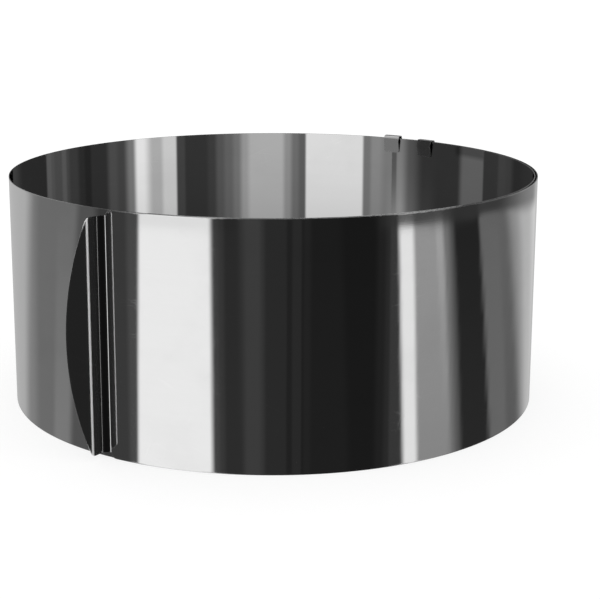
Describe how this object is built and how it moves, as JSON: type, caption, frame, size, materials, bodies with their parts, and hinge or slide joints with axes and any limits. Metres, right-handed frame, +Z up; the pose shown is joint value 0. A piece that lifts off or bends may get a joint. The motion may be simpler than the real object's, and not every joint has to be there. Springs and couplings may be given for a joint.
{
  "type": "adjustable cake ring",
  "caption": "Adjustable cake ring coiled from a strip of polished steel, with a half-moon grip bent from its outer end and spring clips pushed over the rim.",
  "frame": {"origin": "centre of the ring at the level of the bottom rim", "axes": "+Z up along the ring's axis; the front, with the grip at its left, faces -Y; +X to the right"},
  "size_m": [0.279, 0.2794, 0.1216],
  "materials": {
    "band_steel": "polished rolled stainless strip, long soft reflections along its height",
    "clip_steel": "satin spring steel"
  },
  "bodies": {
    "outer_band": {"outer_band": "band_steel"},
    "inner_band": {"inner_band": "band_steel"},
    "rim_clip_a": {"rim_clip_a": "clip_steel"},
    "rim_clip_b": {"rim_clip_b": "clip_steel"}
  },
  "joints": [
    {"name": "inner_end_slide", "type": "hinge", "parent": "outer_band", "child": "inner_band", "pos_m": [0, 0, 0.06], "axis": [0, 0, 1], "range_deg": [-26, 155]},
    {"name": "rim_clip_a_lift", "type": "slide", "parent": "inner_band", "child": "rim_clip_a", "axis": [0, 0, 1], "range_m": [0, 0.012]},
    {"name": "rim_clip_b_lift", "type": "slide", "parent": "inner_band", "child": "rim_clip_b", "axis": [0, 0, 1], "range_m": [0, 0.012]}
  ]
}
